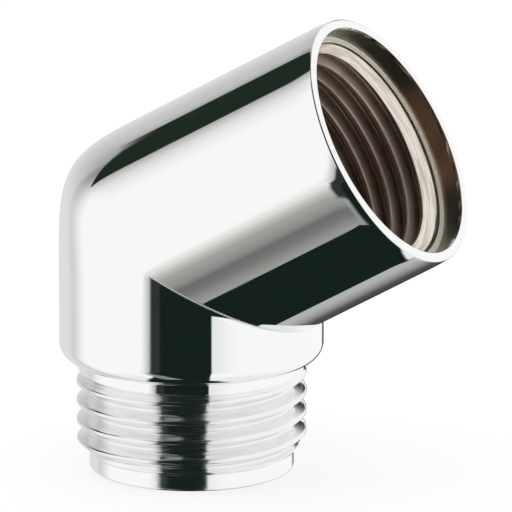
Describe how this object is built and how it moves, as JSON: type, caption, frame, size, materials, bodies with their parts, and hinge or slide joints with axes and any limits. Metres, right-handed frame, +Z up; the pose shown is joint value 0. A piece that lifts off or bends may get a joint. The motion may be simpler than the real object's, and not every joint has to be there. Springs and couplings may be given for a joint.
{
  "type": "shower hose elbow adapter",
  "caption": "Chrome-plated elbow adapter with a male half-inch pipe thread below and a female one in an arm bent 60 degrees, joined by a water passage.",
  "frame": {"origin": "centre of the male end face, where the part stands", "axes": "+Z up the axis of the male thread; the arm leans from it towards +X, in the XZ plane"},
  "size_m": [0.0372, 0.024, 0.0426],
  "materials": {
    "chrome": "polished"
  },
  "bodies": {
    "root": {"elbow_body": "chrome"}
  },
  "joints": []
}
